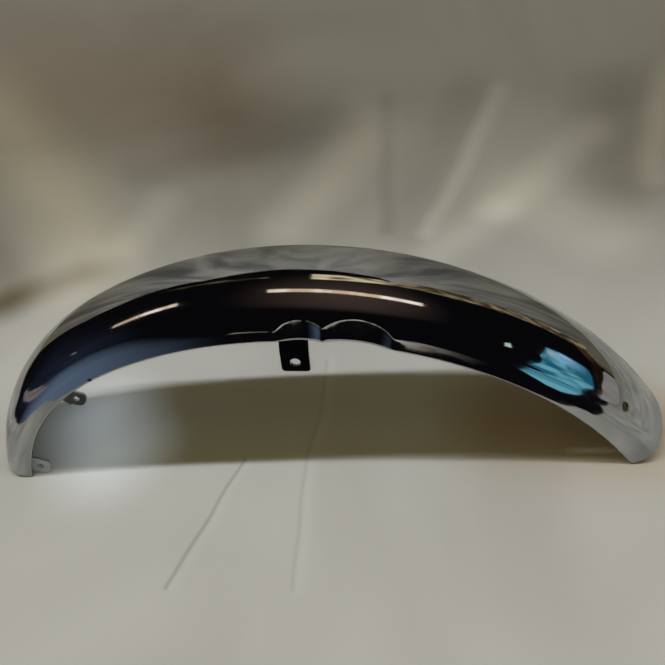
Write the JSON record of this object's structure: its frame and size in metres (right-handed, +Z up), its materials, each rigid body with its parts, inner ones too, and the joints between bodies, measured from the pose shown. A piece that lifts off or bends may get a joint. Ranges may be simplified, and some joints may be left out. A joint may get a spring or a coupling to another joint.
{
  "type": "motorcycle front mudguard",
  "caption": "Arched steel mudguard with a domed crown and beaded lower edges, an inner fork bracket with drilled tabs and drilled stay lugs at the rear end.",
  "frame": {"origin": "on the ground that both ends stand on, in the middle of the length and of the width", "axes": "+X towards the mudguard's front end, +Y towards the motorcycle's left side, +Z up"},
  "size_m": [0.6386, 0.102, 0.2026],
  "materials": {
    "plated_sheet": "bright chrome plating, mirror-like, with light wear",
    "plated_bracket": "chrome plating, duller than the blade"
  },
  "bodies": {
    "root": {"blade": "plated_sheet", "fork_bracket": "plated_bracket", "stay_lug_right": "plated_bracket", "stay_lug_left": "plated_bracket"}
  },
  "joints": []
}
